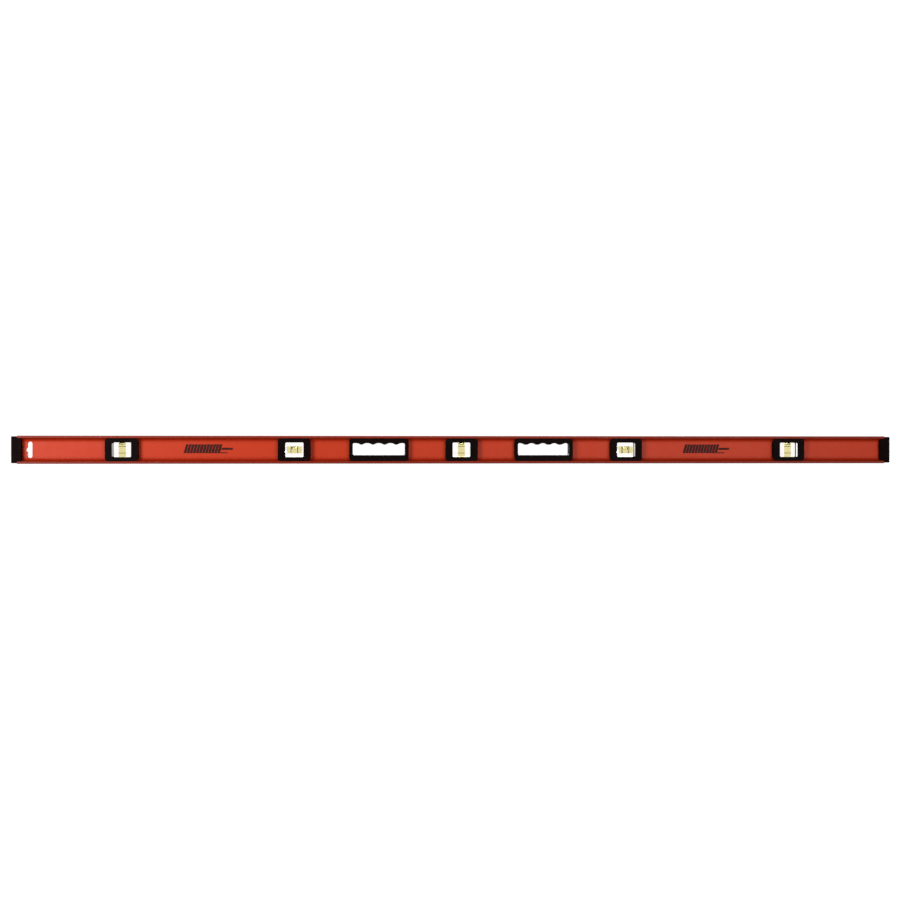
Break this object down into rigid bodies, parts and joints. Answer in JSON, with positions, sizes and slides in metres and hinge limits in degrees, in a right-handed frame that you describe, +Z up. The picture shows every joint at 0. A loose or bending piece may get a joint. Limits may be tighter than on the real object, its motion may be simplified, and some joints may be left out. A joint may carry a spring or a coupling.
{
  "type": "spirit level",
  "caption": "Long aluminium I-beam spirit level with plumb and level vials in clamped frames, scalloped hand-hold linings, black end caps and a hang hole near one end.",
  "frame": {"origin": "centre of the lower working face, midway along the beam and midway between its front and back", "axes": "+X along the beam, to the right when seen from the front; +Y from the front to the back; +Z up, towards the upper working face"},
  "size_m": [1.8288, 0.027, 0.0571],
  "materials": {
    "painted_aluminium": "satin",
    "black_plastic": "satin",
    "cap_rubber": "matte",
    "screw_steel": "satin",
    "clear_acrylic": "gloss",
    "vial_liquid": "gloss",
    "air_bubble": "gloss"
  },
  "bodies": {
    "level": {"rail": "painted_aluminium", "end_cap_left": "cap_rubber", "end_cap_left_screw_lower": "screw_steel", "end_cap_left_screw_upper": "screw_steel", "end_cap_right": "cap_rubber", "end_cap_right_screw_lower": "screw_steel", "end_cap_right_screw_upper": "screw_steel", "hand_hold_left_front": "black_plastic", "hand_hold_left_back": "black_plastic", "hand_hold_right_front": "black_plastic", "hand_hold_right_back": "black_plastic", "plumb_left_front_frame": "black_plastic", "plumb_left_back_frame": "black_plastic", "plumb_left_frame_screw_left": "screw_steel", "plumb_left_frame_screw_right": "screw_steel", "plumb_left_vial_block": "clear_acrylic", "plumb_left_vial_plug": "clear_acrylic", "plumb_left_vial_liquid": "vial_liquid", "level_left_front_frame": "black_plastic", "level_left_back_frame": "black_plastic", "level_left_frame_screw_left": "screw_steel", "level_left_frame_screw_right": "screw_steel", "level_left_vial_block": "clear_acrylic", "level_left_vial_plug": "clear_acrylic", "level_left_vial_liquid": "vial_liquid", "plumb_centre_front_frame": "black_plastic", "plumb_centre_back_frame": "black_plastic", "plumb_centre_frame_screw_left": "screw_steel", "plumb_centre_frame_screw_right": "screw_steel", "plumb_centre_vial_block": "clear_acrylic", "plumb_centre_vial_plug": "clear_acrylic", "plumb_centre_vial_liquid": "vial_liquid", "level_right_front_frame": "black_plastic", "level_right_back_frame": "black_plastic", "level_right_frame_screw_left": "screw_steel", "level_right_frame_screw_right": "screw_steel", "level_right_vial_block": "clear_acrylic", "level_right_vial_plug": "clear_acrylic", "level_right_vial_liquid": "vial_liquid", "plumb_right_front_frame": "black_plastic", "plumb_right_back_frame": "black_plastic", "plumb_right_frame_screw_left": "screw_steel", "plumb_right_frame_screw_right": "screw_steel", "plumb_right_vial_block": "clear_acrylic", "plumb_right_vial_plug": "clear_acrylic", "plumb_right_vial_liquid": "vial_liquid"},
    "plumb_left_bubble": {"plumb_left_vial_bubble": "air_bubble"},
    "level_left_bubble": {"level_left_vial_bubble": "air_bubble"},
    "plumb_centre_bubble": {"plumb_centre_vial_bubble": "air_bubble"},
    "level_right_bubble": {"level_right_vial_bubble": "air_bubble"},
    "plumb_right_bubble": {"plumb_right_vial_bubble": "air_bubble"}
  },
  "joints": [
    {"name": "plumb_left_travel", "type": "slide", "parent": "level", "child": "plumb_left_bubble", "axis": [0, 0, 1], "range_m": [-0.0248, 0], "stiffness_N_per_m": 0.5, "springref_m": 0.02},
    {"name": "level_left_travel", "type": "slide", "parent": "level", "child": "level_left_bubble", "axis": [1, 0, 0], "range_m": [-0.0078, 0.0078], "stiffness_N_per_m": 0.5},
    {"name": "plumb_centre_travel", "type": "slide", "parent": "level", "child": "plumb_centre_bubble", "axis": [0, 0, 1], "range_m": [-0.0248, 0], "stiffness_N_per_m": 0.5, "springref_m": 0.02},
    {"name": "level_right_travel", "type": "slide", "parent": "level", "child": "level_right_bubble", "axis": [1, 0, 0], "range_m": [-0.0078, 0.0078], "stiffness_N_per_m": 0.5},
    {"name": "plumb_right_travel", "type": "slide", "parent": "level", "child": "plumb_right_bubble", "axis": [0, 0, 1], "range_m": [-0.0248, 0], "stiffness_N_per_m": 0.5, "springref_m": 0.02}
  ]
}
